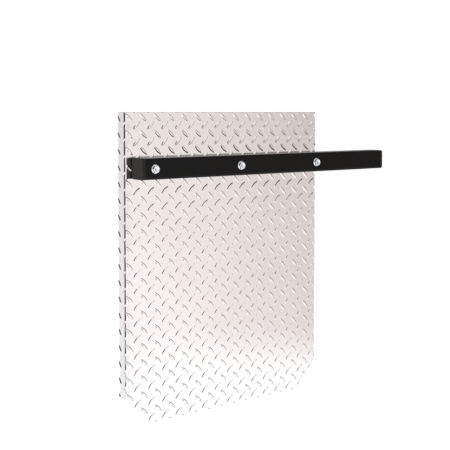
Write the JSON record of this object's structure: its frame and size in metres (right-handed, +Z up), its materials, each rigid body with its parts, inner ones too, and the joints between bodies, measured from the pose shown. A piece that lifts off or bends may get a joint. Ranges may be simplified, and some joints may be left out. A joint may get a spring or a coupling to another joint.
{
  "type": "mud flap",
  "caption": "Rigid tread-plate mud flap with a folded outboard edge and cut lower corners, bolted flat to a square black support tube that runs on past its inboard edge.",
  "frame": {"origin": "midway between the two frame-bolt holes, on the support tube's top face", "axes": "+X along the support tube towards the vehicle's frame, +Z up, -Y out of the panel's tread side (the rear)"},
  "size_m": [0.6523, 0.0746, 0.6096],
  "materials": {
    "tread_plate": "bright rolled sheet with raised tread on one side, smooth on the other",
    "black_powder_coat": "semi-gloss black powder coat on steel tube",
    "black_plastic": "matte moulded black plastic",
    "zinc_plated_steel": "bright bluish zinc plating",
    "nylon": "translucent off-white nylon"
  },
  "bodies": {
    "root": {"flap_panel": "tread_plate", "support_tube": "black_powder_coat", "outboard_end_plug": "black_plastic", "inboard_end_plug": "black_plastic", "flange_bolt_outboard": "zinc_plated_steel", "flat_washer_outboard": "zinc_plated_steel", "lock_nut_outboard": "zinc_plated_steel", "lock_nut_insert_outboard": "nylon", "flange_bolt_middle": "zinc_plated_steel", "flat_washer_middle": "zinc_plated_steel", "lock_nut_middle": "zinc_plated_steel", "lock_nut_insert_middle": "nylon", "flange_bolt_inboard": "zinc_plated_steel", "flat_washer_inboard": "zinc_plated_steel", "lock_nut_inboard": "zinc_plated_steel", "lock_nut_insert_inboard": "nylon"}
  },
  "joints": []
}
